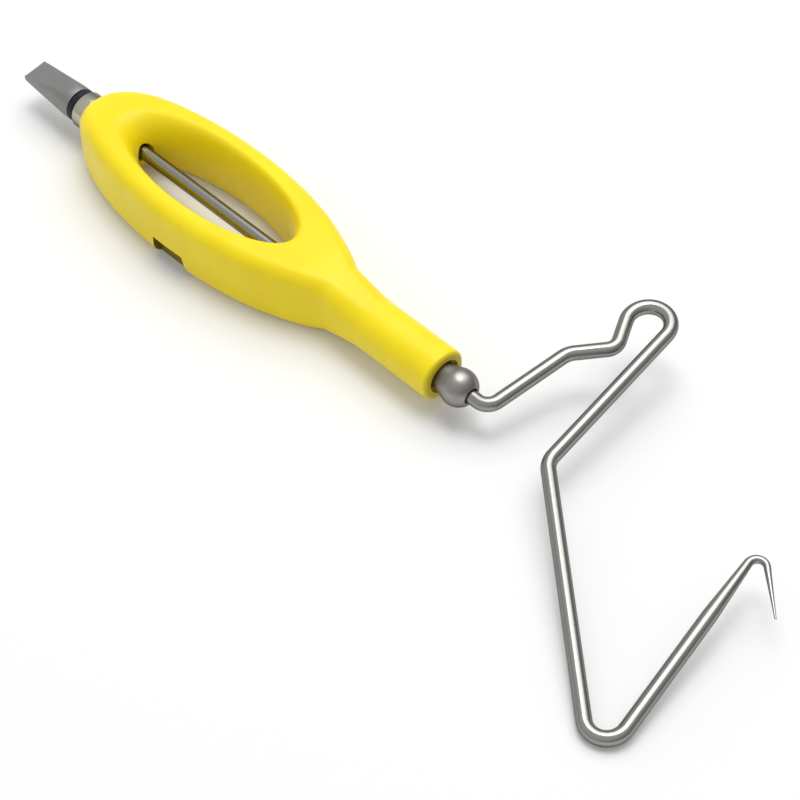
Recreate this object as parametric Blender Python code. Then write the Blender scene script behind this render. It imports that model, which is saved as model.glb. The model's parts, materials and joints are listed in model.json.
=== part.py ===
"""Rotary whip finisher: a looped handle with a bent wire hook that spins through it.

Units are metres and +Z is up. The spin axis runs along +X, from the tail tool to the hook.
The origin lies on the flat underside of the handle, between its finger window and its neck.
The tool lies on a table: the loop of the handle and the lowest bend of the hook touch it.
"""

import math

import bmesh
import bpy

# Handle: an oval loop round a finger window, drawn in to a rounded neck
WINDOW_LENGTH = 0.0300
WINDOW_WIDTH = 0.0106
FRONT_FLARE = 0.0020
REAR_FLARE = 0.0043
SIDE_FLARE = 0.0014
STEEPEST_FLARE = 80.0
RAIL_WIDTH = 0.0040
FRONT_WALL = 0.0106
REAR_WALL = 0.0118
LOOP_THICKNESS = 0.0100
LOOP_EDGE_RADIUS = 0.0022
REST_PAD_LENGTH = 0.0042
SHOULDER_LENGTH = 0.0120
SHOULDER_BLEND = 0.0032
NECK_LENGTH = 0.0119
NECK_WIDTH = 0.0071
NECK_EDGE_RADIUS = 0.0032
NOSE_FILLET = 0.0006
TAIL_DIAMETER = 0.0062
TAIL_FILLET = 0.0005

# Relief cut in the lower edge of one rail
NOTCH_LENGTH = 0.0070
NOTCH_RAMP = 0.0012
NOTCH_HEIGHT = 0.0035
NOTCH_DEPTH = 0.0013
NOTCH_AHEAD = 0.0012

# Fits
RUNNING_GAP = 0.00008
SEAT_GAP = 0.0002
CHANNEL_GAP = 0.0004

# Ball-nosed bush in the neck, and the recess round its stem
BALL_RADIUS = 0.00265
BALL_AHEAD = 0.00264
BALL_LIP = 0.00025
NOSE_SLEEVE_DIAMETER = 0.0040
NOSE_SLEEVE_LENGTH = 0.0080
NOSE_RECESS_DIAMETER = 0.0050
NOSE_RECESS_DEPTH = 0.0008

# Flanged bush, washer and flat-sided tool at the tail
COLLAR_LENGTH = 0.0024
COLLAR_DIAMETER = 0.0056
COLLAR_EDGE_RADIUS = 0.0003
TAIL_SLEEVE_DIAMETER = 0.0036
TAIL_SLEEVE_LENGTH = 0.0060
WASHER_THICKNESS = 0.0009
WASHER_DIAMETER = 0.0051
TOOL_LENGTH = 0.0104
TOOL_ROOT_DIAMETER = 0.0051
TOOL_TIP_DIAMETER = 0.0039
TOOL_TIP_THICKNESS = 0.0009
TOOL_ROUND_LENGTH = 0.0014
TOOL_SOCKET_DEPTH = 0.0040

# Wire: straight runs between its bends, in order from the nose
WIRE_DIAMETER = 0.0020
NOSE_REACH = 0.0011
FIRST_LEG = 0.0105
SECOND_LEG = 0.0042
THIRD_LEG = 0.0034
LONG_LEG = 0.0354
TIP_LEG = 0.0072
KNEE_BELOW_AXIS = 0.0010
TIP_ABOVE_AXIS = 0.0005
TAPER_LENGTH = 0.0190
TIP_DIAMETER = 0.00025

# Direction of each leg from the spin axis, in degrees, and the bend radii at the wire's middle
FIRST_HEADING = 82.0
SECOND_HEADING = 48.0
THIRD_HEADING = 117.0
RETURN_HEADING = -85.5
LONG_HEADING = -40.0
HOOK_HEADING = 99.0
TIP_HEADING = -42.0
FIRST_BEND_RADIUS = 0.0020
SECOND_BEND_RADIUS = 0.0030
THIRD_BEND_RADIUS = 0.0018
CROOK_RADIUS = 0.00295
KNEE_RADIUS = 0.0030
BOTTOM_RADIUS = 0.0027
HOOK_RADIUS = 0.00125

# Facets
CORNER_STEPS = 6
LOOP_STATIONS = 34
SHOULDER_STATIONS = 12
FILLET_STEPS = 4
WINDOW_STEPS = 72
RIM_STEPS = 7
TURN_STEPS = 40
BALL_STEPS = 14
WIRE_BEVEL_RESOLUTION = 6
BEND_STEP = 10.0
CUT_OVERSHOOT = 0.0002
WELD_DISTANCE = 1e-6
SHARP_ANGLE = 35.0

# Places along the spin axis, worked out from the sizes above
AXIS_HEIGHT = LOOP_THICKNESS / 2
WIRE_RADIUS = WIRE_DIAMETER / 2
BORE_RADIUS = WIRE_RADIUS + RUNNING_GAP
CHANNEL_RADIUS = WIRE_RADIUS + CHANNEL_GAP
LOOP_HALF_WIDTH = WINDOW_WIDTH / 2 + RAIL_WIDTH
LOOP_HALF_LENGTH = (WINDOW_LENGTH + FRONT_WALL + REAR_WALL) / 2
NECK_HALF_WIDTH = NECK_WIDTH / 2
TAIL_RADIUS = TAIL_DIAMETER / 2
SHOULDER_START = REST_PAD_LENGTH / 2
SHOULDER_END = SHOULDER_START + SHOULDER_LENGTH
NOSE_FACE = SHOULDER_END + NECK_LENGTH
WINDOW_FRONT = -REST_PAD_LENGTH / 2 - FRONT_FLARE
WINDOW_CENTRE = WINDOW_FRONT - WINDOW_LENGTH / 2
WINDOW_REAR = WINDOW_FRONT - WINDOW_LENGTH
LOOP_CENTRE = WINDOW_CENTRE + (FRONT_WALL - REAR_WALL) / 2
TAIL_FACE = LOOP_CENTRE - LOOP_HALF_LENGTH * math.sqrt(1 - (TAIL_RADIUS / LOOP_HALF_WIDTH) ** 2)
TAIL_TAPER_START = WINDOW_REAR - REAR_FLARE / 2
BALL_CENTRE = NOSE_FACE + BALL_AHEAD
BALL_MOUTH_RADIUS = BORE_RADIUS + BALL_LIP
BALL_FRONT = BALL_CENTRE + math.sqrt(BALL_RADIUS**2 - BALL_MOUTH_RADIUS**2)
COLLAR_FRONT = TAIL_FACE - SEAT_GAP
COLLAR_REAR = COLLAR_FRONT - COLLAR_LENGTH
WASHER_FRONT = COLLAR_REAR - SEAT_GAP
WASHER_REAR = WASHER_FRONT - WASHER_THICKNESS
TOOL_FRONT = WASHER_REAR - SEAT_GAP
TOOL_TIP = TOOL_FRONT - TOOL_LENGTH
WIRE_END = TOOL_FRONT - TOOL_SOCKET_DEPTH + SEAT_GAP
FIRST_BEND_START = BALL_FRONT + NOSE_REACH


def clear_scene():
    """Remove whatever the scene holds."""
    for old in list(bpy.data.objects):
        bpy.data.objects.remove(old, do_unlink=True)


def make_material(name, colour, roughness, metallic):
    """A Principled material of one colour."""
    material = bpy.data.materials.new(name)
    material.use_nodes = True
    shader = material.node_tree.nodes["Principled BSDF"]
    shader.inputs["Base Color"].default_value = (*colour, 1.0)
    shader.inputs["Roughness"].default_value = roughness
    shader.inputs["Metallic"].default_value = metallic
    return material


def add_empty(name, tilt=0.0):
    """An empty on the spin axis, turned about it by tilt."""
    empty = bpy.data.objects.new(name, None)
    empty.location = (0.0, 0.0, AXIS_HEIGHT)
    empty.rotation_euler = (tilt, 0.0, 0.0)
    bpy.context.scene.collection.objects.link(empty)
    return empty


def add_mesh(name, shape, parent, material=None):
    """Turn a bmesh into a smooth-shaded object. Without a material it is a cutter."""
    bmesh.ops.remove_doubles(shape, verts=shape.verts[:], dist=WELD_DISTANCE)
    bmesh.ops.recalc_face_normals(shape, faces=shape.faces[:])
    mesh = bpy.data.meshes.new(name)
    shape.to_mesh(mesh)
    shape.free()
    mesh.shade_smooth()
    mesh.set_sharp_from_angle(angle=math.radians(SHARP_ANGLE))
    solid = bpy.data.objects.new(name, mesh)
    solid.parent = parent
    bpy.context.scene.collection.objects.link(solid)
    if material:
        mesh.materials.append(material)
    else:
        solid.hide_render = True
        solid.display_type = "WIRE"
    return solid


def add_boolean(solid, cutter, operation="DIFFERENCE"):
    """Cut a solid with a cutter, or keep only what lies inside it."""
    modifier = solid.modifiers.new(cutter.name, "BOOLEAN")
    modifier.object = cutter
    modifier.operation = operation
    modifier.solver = "EXACT"


def bridge(shape, rings):
    """Join rings of equally many vertices into a closed skin, with a face at each end."""
    for ring, following in zip(rings, rings[1:]):
        for i in range(len(ring)):
            j = (i + 1) % len(ring)
            shape.faces.new((ring[i], ring[j], following[j], following[i]))
    shape.faces.new(rings[0])
    shape.faces.new(rings[-1])


def lathe(name, profile, parent, material=None):
    """Spin a closed profile of (x, radius) points about the spin axis."""
    shape = bmesh.new()
    points = [shape.verts.new((x, radius, 0.0)) for x, radius in profile]
    edges = [shape.edges.new(pair) for pair in zip(points, points[1:] + points[:1])]
    bmesh.ops.spin(
        shape,
        geom=points + edges,
        cent=(0.0, 0.0, 0.0),
        axis=(1.0, 0.0, 0.0),
        angle=2 * math.pi,
        steps=TURN_STEPS,
        use_merge=True,
    )
    return add_mesh(name, shape, parent, material)


def arc(centre, radius, start, end, steps):
    """Points of an arc in the plane, from one angle to another in radians."""
    angles = [start + (end - start) * i / steps for i in range(steps + 1)]
    return [(centre[0] + radius * math.cos(a), centre[1] + radius * math.sin(a)) for a in angles]


def ease(value):
    """Smooth step from 0 to 1."""
    value = min(max(value, 0.0), 1.0)
    return value * value * (3 - 2 * value)


def smooth_max(first, second, reach):
    """The larger of two values, with a round corner where they meet."""
    near = max(reach - abs(first - second), 0.0) / reach
    return max(first, second) + near * near * reach / 4


def tail_fall(x):
    """How far the loop has sunk towards the tail: 0 at the window's rim, 1 at the tail face."""
    share = min(max((TAIL_TAPER_START - x) / (TAIL_TAPER_START - TAIL_FACE), 0.0), 1.0)
    return 1 - math.sqrt(1 - share * share)


def handle_section(x):
    """Half width, half height and corner radius of the handle at one place on the axis."""
    along = min(abs(x - LOOP_CENTRE) / LOOP_HALF_LENGTH, 1.0)
    oval = LOOP_HALF_WIDTH * math.sqrt(1 - along * along)
    half_width = smooth_max(oval, NECK_HALF_WIDTH, SHOULDER_BLEND) if x > LOOP_CENTRE else oval
    neck = ease((x - SHOULDER_START) / SHOULDER_LENGTH)
    tail = tail_fall(x)
    half_height = AXIS_HEIGHT
    half_height += (NECK_HALF_WIDTH - AXIS_HEIGHT) * neck
    half_height += (TAIL_RADIUS - AXIS_HEIGHT) * tail
    corner = LOOP_EDGE_RADIUS
    corner += (NECK_EDGE_RADIUS - LOOP_EDGE_RADIUS) * neck
    corner += (TAIL_RADIUS - LOOP_EDGE_RADIUS) * tail
    return half_width, half_height, min(corner, half_width, half_height)


def handle_stations():
    """(x, inset) of each section from the tail face to the nose face, with rounded ends."""
    first = math.acos((LOOP_CENTRE - TAIL_FACE - TAIL_FILLET) / LOOP_HALF_LENGTH)
    last = math.acos((LOOP_CENTRE - SHOULDER_START) / LOOP_HALF_LENGTH)
    quarter = [math.pi / 2 * i / FILLET_STEPS for i in range(FILLET_STEPS)]
    stations = []
    for a in quarter:
        stations.append((TAIL_FACE + TAIL_FILLET * (1 - math.cos(a)), TAIL_FILLET * (1 - math.sin(a))))
    for i in range(LOOP_STATIONS + 1):
        angle = first + (last - first) * i / LOOP_STATIONS
        stations.append((LOOP_CENTRE - LOOP_HALF_LENGTH * math.cos(angle), 0.0))
    for i in range(1, SHOULDER_STATIONS + 1):
        stations.append((SHOULDER_START + SHOULDER_LENGTH * i / SHOULDER_STATIONS, 0.0))
    stations.append((NOSE_FACE - NOSE_FILLET, 0.0))
    for a in reversed(quarter):
        stations.append((NOSE_FACE - NOSE_FILLET * (1 - math.cos(a)), NOSE_FILLET * (1 - math.sin(a))))
    return stations


def section_ring(shape, x, inset):
    """One rounded rectangle across the axis, as a ring of vertices."""
    half_width, half_height, corner = handle_section(x)
    half_width -= inset
    half_height -= inset
    corner -= inset
    ring = []
    for quarter, (side, top) in enumerate(((1, 1), (-1, 1), (-1, -1), (1, -1))):
        centre = (side * (half_width - corner), top * (half_height - corner))
        start = quarter * math.pi / 2
        for y, z in arc(centre, corner, start, start + math.pi / 2, CORNER_STEPS):
            ring.append(shape.verts.new((x, y, z)))
    return ring


def window_levels():
    """(height from the axis, share of the flare) of the window's rings, from bottom to top."""
    levels = []
    for i in range(RIM_STEPS + 1):
        angle = math.radians(STEEPEST_FLARE) * i / RIM_STEPS
        levels.append((AXIS_HEIGHT * math.sin(angle), 1 - math.cos(angle)))
    height, share = levels[-1]
    top = AXIS_HEIGHT + CUT_OVERSHOOT
    slope = math.tan(math.radians(STEEPEST_FLARE)) / AXIS_HEIGHT
    levels.append((top, share + (top - height) * slope))
    return [(-height, share) for height, share in reversed(levels[1:])] + levels


def window_cutter(parent):
    """An oval plug with a waist, whose flare leaves rounded rails and a scooped rear end."""
    shape = bmesh.new()
    rings = []
    for height, share in window_levels():
        front = WINDOW_FRONT + FRONT_FLARE * share
        rear = WINDOW_REAR - REAR_FLARE * share
        half_width = WINDOW_WIDTH / 2 + SIDE_FLARE * share
        ring = []
        for i in range(WINDOW_STEPS):
            angle = 2 * math.pi * i / WINDOW_STEPS
            x = (front + rear) / 2 + (front - rear) / 2 * math.cos(angle)
            ring.append(shape.verts.new((x, half_width * math.sin(angle), height)))
        rings.append(ring)
    bridge(shape, rings)
    return add_mesh("window_cutter", shape, parent)


def notch_cutter(parent):
    """A ramped prism that bites into the lower edge of the rail on the -Y side."""
    shape = bmesh.new()
    middle = WINDOW_CENTRE + NOTCH_AHEAD
    rear = middle - NOTCH_LENGTH / 2
    front = middle + NOTCH_LENGTH / 2
    floor = -AXIS_HEIGHT - CUT_OVERSHOOT
    ceiling = -AXIS_HEIGHT + NOTCH_HEIGHT
    side_view = ((rear, floor), (front, floor), (front - NOTCH_RAMP, ceiling), (rear, ceiling))
    rings = []
    for y in (-LOOP_HALF_WIDTH - CUT_OVERSHOOT, -LOOP_HALF_WIDTH + NOTCH_DEPTH):
        rings.append([shape.verts.new((x, y, z)) for x, z in side_view])
    bridge(shape, rings)
    return add_mesh("notch_cutter", shape, parent)


def bore_cutter(name, face, outward, sleeve_diameter, sleeve_length, parent):
    """A stepped bore from one end face: a seat for a bush, then a channel into the window."""
    mouth = face + outward * CUT_OVERSHOOT
    step = face - outward * (sleeve_length + SEAT_GAP)
    seat_radius = sleeve_diameter / 2 + SEAT_GAP
    profile = [
        (WINDOW_CENTRE, 0.0),
        (WINDOW_CENTRE, CHANNEL_RADIUS),
        (step, CHANNEL_RADIUS),
        (step, seat_radius),
        (mouth, seat_radius),
        (mouth, 0.0),
    ]
    return lathe(name, profile, parent)


def recess_cutter(parent):
    """A shallow round recess in the nose face, round the stem of the bush."""
    bottom = NOSE_FACE - NOSE_RECESS_DEPTH
    mouth = NOSE_FACE + CUT_OVERSHOOT
    rim = NOSE_RECESS_DIAMETER / 2
    profile = [(bottom, 0.0), (bottom, rim), (mouth, rim), (mouth, 0.0)]
    return lathe("nose_recess", profile, parent)


def build_handle(parent):
    """The cast handle: a loft through rounded sections, with its window, bores and notch cut out."""
    shape = bmesh.new()
    bridge(shape, [section_ring(shape, x, inset) for x, inset in handle_stations()])
    coat = make_material("yellow_coat", (0.90, 0.68, 0.02), 0.32, 0.0)
    handle = add_mesh("handle", shape, parent, coat)
    cutters = (
        window_cutter(parent),
        bore_cutter("nose_bore", NOSE_FACE, 1, NOSE_SLEEVE_DIAMETER, NOSE_SLEEVE_LENGTH, parent),
        bore_cutter("tail_bore", TAIL_FACE, -1, TAIL_SLEEVE_DIAMETER, TAIL_SLEEVE_LENGTH, parent),
        recess_cutter(parent),
        notch_cutter(parent),
    )
    for cutter in cutters:
        add_boolean(handle, cutter)


def build_nose_bush(parent):
    """The bush that carries the wire at the front: a sleeve in the neck, widening to a ball."""
    sleeve_radius = NOSE_SLEEVE_DIAMETER / 2
    sleeve_end = NOSE_FACE - NOSE_SLEEVE_LENGTH
    reach = math.hypot(BALL_AHEAD, sleeve_radius)
    base_angle = math.pi - math.atan2(sleeve_radius, BALL_AHEAD) - math.acos(BALL_RADIUS / reach)
    mouth_angle = math.asin(BALL_MOUTH_RADIUS / BALL_RADIUS)
    profile = [(sleeve_end, BORE_RADIUS), (sleeve_end, sleeve_radius), (NOSE_FACE, sleeve_radius)]
    profile += arc((BALL_CENTRE, 0.0), BALL_RADIUS, base_angle, mouth_angle, BALL_STEPS)
    profile.append((BALL_FRONT - BALL_LIP, BORE_RADIUS))
    steel = make_material("satin_steel", (0.42, 0.40, 0.38), 0.36, 1.0)
    lathe("nose_bush", profile, parent, steel)


def build_tail_bush(parent):
    """The bright flanged bush that carries the wire at the tail."""
    sleeve_end = TAIL_FACE + TAIL_SLEEVE_LENGTH
    edge = COLLAR_DIAMETER / 2 - COLLAR_EDGE_RADIUS
    profile = [(sleeve_end, BORE_RADIUS), (sleeve_end, TAIL_SLEEVE_DIAMETER / 2)]
    profile.append((COLLAR_FRONT, TAIL_SLEEVE_DIAMETER / 2))
    front_edge = (COLLAR_FRONT - COLLAR_EDGE_RADIUS, edge)
    rear_edge = (COLLAR_REAR + COLLAR_EDGE_RADIUS, edge)
    profile += arc(front_edge, COLLAR_EDGE_RADIUS, 0.0, math.pi / 2, FILLET_STEPS)
    profile += arc(rear_edge, COLLAR_EDGE_RADIUS, math.pi / 2, math.pi, FILLET_STEPS)
    profile.append((COLLAR_REAR, BORE_RADIUS))
    steel = make_material("bright_collar", (0.72, 0.71, 0.69), 0.14, 1.0)
    lathe("tail_bush", profile, parent, steel)


def build_thrust_washer(parent):
    """The dark washer between the tail bush and the tool behind it."""
    rim = WASHER_DIAMETER / 2
    profile = [(WASHER_FRONT, BORE_RADIUS), (WASHER_FRONT, rim)]
    profile += [(WASHER_REAR, rim), (WASHER_REAR, BORE_RADIUS)]
    dark = make_material("dark_washer", (0.03, 0.03, 0.04), 0.45, 0.0)
    lathe("thrust_washer", profile, parent, dark)


def build_tail_tool(parent):
    """The tapered tool on the wire's rear end, with two flats that thin it to a straight edge."""
    socket_end = TOOL_FRONT - TOOL_SOCKET_DEPTH
    profile = (
        (TOOL_TIP, 0.0),
        (TOOL_TIP, TOOL_TIP_DIAMETER / 2),
        (TOOL_FRONT - TOOL_ROUND_LENGTH, TOOL_ROOT_DIAMETER / 2),
        (TOOL_FRONT, TOOL_ROOT_DIAMETER / 2),
        (TOOL_FRONT, BORE_RADIUS),
        (socket_end, BORE_RADIUS),
        (socket_end, 0.0),
    )
    steel = make_material("matte_steel", (0.26, 0.26, 0.25), 0.55, 1.0)
    tool = lathe("tail_tool", profile, parent, steel)
    shape = bmesh.new()
    thin = TOOL_TIP_THICKNESS / 2
    thick = TOOL_ROOT_DIAMETER / 2
    flats_end = TOOL_FRONT - TOOL_ROUND_LENGTH
    clear = TOOL_FRONT + CUT_OVERSHOOT
    upper = [(TOOL_TIP - CUT_OVERSHOOT, thin), (TOOL_TIP, thin)]
    upper += [(flats_end, thick), (clear, thick + CUT_OVERSHOOT)]
    side_view = upper + [(x, -z) for x, z in reversed(upper)]
    rings = []
    for y in (-TOOL_ROOT_DIAMETER, TOOL_ROOT_DIAMETER):
        rings.append([shape.verts.new((x, y, z)) for x, z in side_view])
    bridge(shape, rings)
    add_boolean(tool, add_mesh("tool_flats", shape, parent), "INTERSECT")


class WirePath:
    """The middle line of a bent wire in its own plane, drawn run by run."""

    def __init__(self, x, offset):
        self.x = x
        self.offset = offset
        self.heading = 0.0
        self.points = [(x, offset)]

    def run(self, length):
        """Go straight on."""
        self.x += length * math.cos(self.heading)
        self.offset += length * math.sin(self.heading)
        self.points.append((self.x, self.offset))

    def bend(self, heading, radius):
        """Bend round to a new heading in degrees."""
        sweep = math.radians(heading) - self.heading
        side = math.copysign(1.0, sweep)
        centre = (
            self.x - side * radius * math.sin(self.heading),
            self.offset + side * radius * math.cos(self.heading),
        )
        start = self.heading - side * math.pi / 2
        steps = math.ceil(abs(math.degrees(sweep)) / BEND_STEP)
        self.points += arc(centre, radius, start, start + sweep, steps)[1:]
        self.x, self.offset = self.points[-1]
        self.heading = math.radians(heading)


def tangent_length(first, second, radius):
    """Distance from a bend's corner to where it starts, for two headings in degrees."""
    return radius * math.tan(math.radians(abs(second - first)) / 2)


def wire_points():
    """Middle line of the wire: the knee and the hook's point both come back to the spin axis."""
    path = WirePath(WIRE_END, 0.0)
    path.run(FIRST_BEND_START - WIRE_END)
    path.bend(FIRST_HEADING, FIRST_BEND_RADIUS)
    path.run(FIRST_LEG)
    path.bend(SECOND_HEADING, SECOND_BEND_RADIUS)
    path.run(SECOND_LEG)
    path.bend(THIRD_HEADING, THIRD_BEND_RADIUS)
    path.run(THIRD_LEG)
    path.bend(RETURN_HEADING, CROOK_RADIUS)
    to_knee = (path.offset + KNEE_BELOW_AXIS) / -math.sin(path.heading)
    path.run(to_knee - tangent_length(RETURN_HEADING, LONG_HEADING, KNEE_RADIUS))
    path.bend(LONG_HEADING, KNEE_RADIUS)
    path.run(LONG_LEG)
    path.bend(HOOK_HEADING, BOTTOM_RADIUS)
    hook, tip = math.radians(HOOK_HEADING), math.radians(TIP_HEADING)
    bend_rise = HOOK_RADIUS * (math.cos(tip) - math.cos(hook))
    tip_rise = TIP_LEG * math.sin(tip)
    path.run((TIP_ABOVE_AXIS - path.offset - bend_rise - tip_rise) / math.sin(hook))
    path.bend(TIP_HEADING, HOOK_RADIUS)
    path.run(TIP_LEG)
    return with_taper_start(path.points)


def with_taper_start(points):
    """The same line with a point added where the taper to the tip begins."""
    left = TAPER_LENGTH
    for i in range(len(points) - 1, 0, -1):
        span = math.dist(points[i], points[i - 1])
        if span > left:
            share = left / span
            start = tuple(b + (a - b) * share for a, b in zip(points[i - 1], points[i]))
            return points[:i] + [start] + points[i:]
        left -= span
    return points


def lying_tilt(points):
    """Turn about the spin axis that lays the lowest bend of the wire on the table."""
    reach = -min(offset for _, offset in points)
    return math.asin((AXIS_HEIGHT - WIRE_RADIUS) / reach)


def build_hook_wire(points, parent):
    """The wire as a bevelled curve, ground to a point over its last stretch."""
    curve = bpy.data.curves.new("hook_wire", "CURVE")
    curve.dimensions = "3D"
    curve.bevel_depth = WIRE_RADIUS
    curve.bevel_resolution = WIRE_BEVEL_RESOLUTION
    curve.use_fill_caps = True
    spline = curve.splines.new("POLY")
    spline.points.add(len(points) - 1)
    left = sum(math.dist(a, b) for a, b in zip(points, points[1:]))
    previous = points[0]
    for point, place in zip(spline.points, points):
        left -= math.dist(previous, place)
        share = min(left / TAPER_LENGTH, 1.0)
        point.co = (*place, 0.0, 1.0)
        point.radius = (TIP_DIAMETER + (WIRE_DIAMETER - TIP_DIAMETER) * share) / WIRE_DIAMETER
        previous = place
    curve.materials.append(make_material("polished_wire", (0.50, 0.49, 0.47), 0.22, 1.0))
    wire = bpy.data.objects.new("hook_wire", curve)
    wire.parent = parent
    bpy.context.scene.collection.objects.link(wire)


def main():
    """Build the tool as it lies on a table."""
    clear_scene()
    points = wire_points()
    handle_axis = add_empty("handle_axis")
    spin_axis = add_empty("spin_axis", lying_tilt(points))
    build_handle(handle_axis)
    build_nose_bush(handle_axis)
    build_tail_bush(handle_axis)
    build_thrust_washer(handle_axis)
    build_hook_wire(points, spin_axis)
    build_tail_tool(spin_axis)


main()
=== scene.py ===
"""Looks of a rotary whip finisher.

A coated handle, two turned bushes, a dark ring, a polished wire hook and a blasted tail tool. Each piece
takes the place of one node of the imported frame, at the same size and in the same place, with finer curves
and a worked surface. Units are metres. The spin axis runs along +X and the table is the plane z = 0.
"""

import json
import logging
import math
from contextlib import contextmanager
from dataclasses import dataclass
from enum import Enum
from typing import Iterator, Sequence

import bpy
from mathutils import Matrix, Vector


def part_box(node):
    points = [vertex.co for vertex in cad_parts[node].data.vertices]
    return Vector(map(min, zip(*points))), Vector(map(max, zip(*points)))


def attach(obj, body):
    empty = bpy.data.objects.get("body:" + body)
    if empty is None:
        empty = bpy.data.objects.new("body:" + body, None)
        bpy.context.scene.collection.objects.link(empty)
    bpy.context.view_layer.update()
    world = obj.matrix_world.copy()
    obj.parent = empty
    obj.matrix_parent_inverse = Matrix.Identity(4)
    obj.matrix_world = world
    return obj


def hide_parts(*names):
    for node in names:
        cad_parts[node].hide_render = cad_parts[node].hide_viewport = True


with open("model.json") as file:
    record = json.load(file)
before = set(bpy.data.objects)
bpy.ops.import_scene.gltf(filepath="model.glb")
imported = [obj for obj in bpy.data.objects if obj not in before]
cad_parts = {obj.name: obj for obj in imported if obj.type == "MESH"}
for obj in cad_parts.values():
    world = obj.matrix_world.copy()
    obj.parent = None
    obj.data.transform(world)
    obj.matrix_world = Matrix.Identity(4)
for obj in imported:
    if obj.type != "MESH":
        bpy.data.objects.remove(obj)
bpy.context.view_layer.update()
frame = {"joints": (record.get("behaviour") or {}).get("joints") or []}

LOG = logging.getLogger("whip_finisher")

Point = tuple[float, float]
Place = tuple[float, float, float]
Colour = tuple[float, float, float]
Source = bpy.types.NodeSocket | float | tuple


class Body(Enum):
    """Bodies of the frame that a piece can ride on."""

    HANDLE = "handle"
    SPINNER = "spinner"


class Slot(Enum):
    """Material slots of the record."""

    COAT = "yellow_coat"
    SATIN = "satin_steel"
    BRIGHT = "bright_collar"
    WASHER = "dark_washer"
    WIRE = "polished_wire"
    MATTE = "matte_steel"


class Kind(Enum):
    """Kinds of sockets on a shared effect."""

    COLOUR = "NodeSocketColor"
    VALUE = "NodeSocketFloat"
    VECTOR = "NodeSocketVector"


@dataclass(frozen=True)
class Barrel:
    """A plain round stretch of a turned piece, or the hole that it sits in."""

    radius: float
    length: float


@dataclass(frozen=True)
class Bend:
    """A bend of the wire: the heading it turns to, in degrees from the spin axis, and its radius."""

    heading: float
    radius: float


def ends(node: str) -> Point:
    """Rear and front end of a node of the frame, as places on the spin axis."""
    rear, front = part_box(node)
    return rear.x, front.x


# Places on the spin axis, and sizes that several pieces go by
AXIS_HEIGHT = frame["joints"][0]["pos_m"][2]
TAIL_FACE, NOSE_FACE = ends("handle")
WINDOW_CENTRE = -0.0191
NOSE_SLEEVE = Barrel(radius=0.0020, length=0.0080)
TAIL_SLEEVE = Barrel(radius=0.0018, length=0.0060)
WIRE_RADIUS = 0.0010
BORE_RADIUS = 0.00108
CHANNEL_RADIUS = 0.0014
SEAT_GAP = 0.0002
MERGE_DISTANCE = 1e-6
TURN_STEPS = 96
FILLET_STEPS = 6
OVERSHOOT = 0.0003

# Point attribute with the place of each point on the wire before it was bent
DRAWN = "drawn"

# Corner attribute with how much painted shade darkens the coat: all of it inside the notch, part of it on
# the nose face and a little in its recess
PAINTED_SHADE_SHARE = "bare"

# Refraction of a clear coat that adds hardly any shine: its tint darkens what turns away, painted dark edges
# that stand in for dark reflections on the metal
PAINTED_EDGE_SHADE_IOR = 1.05


def pick(piece: bpy.types.Object) -> None:
    """Select one piece alone and make it the active one.

    Args:
        piece: The piece that the next tools work on.
    """
    bpy.ops.object.select_all(action="DESELECT")
    piece.select_set(True)
    bpy.context.view_layer.objects.active = piece


@contextmanager
def edit_mode(piece: bpy.types.Object) -> Iterator[None]:
    """Open one piece in edit mode, with everything else deselected.

    Args:
        piece: The mesh to work on.

    Yields:
        Nothing; edit mode is left again at the end.
    """
    pick(piece)
    bpy.ops.object.mode_set(mode="EDIT")
    yield
    bpy.ops.object.mode_set(mode="OBJECT")


def close_skin() -> None:
    """Weld the seams of the mesh in edit mode, drop what hangs loose and turn its faces outwards."""
    bpy.ops.mesh.select_all(action="SELECT")
    bpy.ops.mesh.remove_doubles(threshold=MERGE_DISTANCE)
    bpy.ops.mesh.dissolve_degenerate(threshold=MERGE_DISTANCE)
    bpy.ops.mesh.delete_loose()
    bpy.ops.mesh.select_all(action="SELECT")
    bpy.ops.mesh.normals_make_consistent(inside=False)


def arc(centre: Point, radius: float, start: float, end: float, steps: int) -> list[Point]:
    """Points of an arc in a plane, from its start angle to its end angle in radians."""
    angles = [start + (end - start) * i / steps for i in range(steps + 1)]
    return [(centre[0] + radius * math.cos(a), centre[1] + radius * math.sin(a)) for a in angles]


def rounded_rim(front: float, rear: float, radius: float, edge: float) -> list[Point]:
    """Profile of a turned rim with both edges rounded.

    Args:
        front: Place of its front face.
        rear: Place of its rear face.
        radius: Its outer radius.
        edge: Radius of the roundings.

    Returns:
        Points from the front face over the rim to the rear face.
    """
    inner = radius - edge
    over_front = arc((front - edge, inner), edge, 0.0, math.pi / 2, FILLET_STEPS)
    return over_front + arc((rear + edge, inner), edge, math.pi / 2, math.pi, FILLET_STEPS)


def turn(name: str, profile: Sequence[Point]) -> bpy.types.Object:
    """Draw a closed profile point by point and spin it about the spin axis.

    Args:
        name: Name of the new piece.
        profile: Points as (place on the axis, radius).

    Returns:
        The turned solid.
    """
    bpy.ops.mesh.primitive_plane_add(size=WIRE_RADIUS)
    piece = bpy.context.object
    piece.name = name
    with edit_mode(piece):
        bpy.ops.mesh.select_mode(type="VERT")
        bpy.ops.mesh.select_all(action="SELECT")
        bpy.ops.mesh.merge(type="CENTER")
        x, radius = profile[0]
        bpy.ops.transform.translate(value=(x, 0.0, AXIS_HEIGHT + radius))
        for (x, radius), (far_x, far_radius) in zip(profile, [*profile[1:], profile[0]]):
            step = (far_x - x, 0.0, far_radius - radius)
            bpy.ops.mesh.extrude_region_move(TRANSFORM_OT_translate={"value": step})
        bpy.ops.mesh.select_all(action="SELECT")
        bpy.ops.mesh.spin(
            steps=TURN_STEPS,
            angle=2 * math.pi,
            center=(0.0, 0.0, AXIS_HEIGHT),
            axis=(1.0, 0.0, 0.0),
        )
        close_skin()
    return piece


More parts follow.
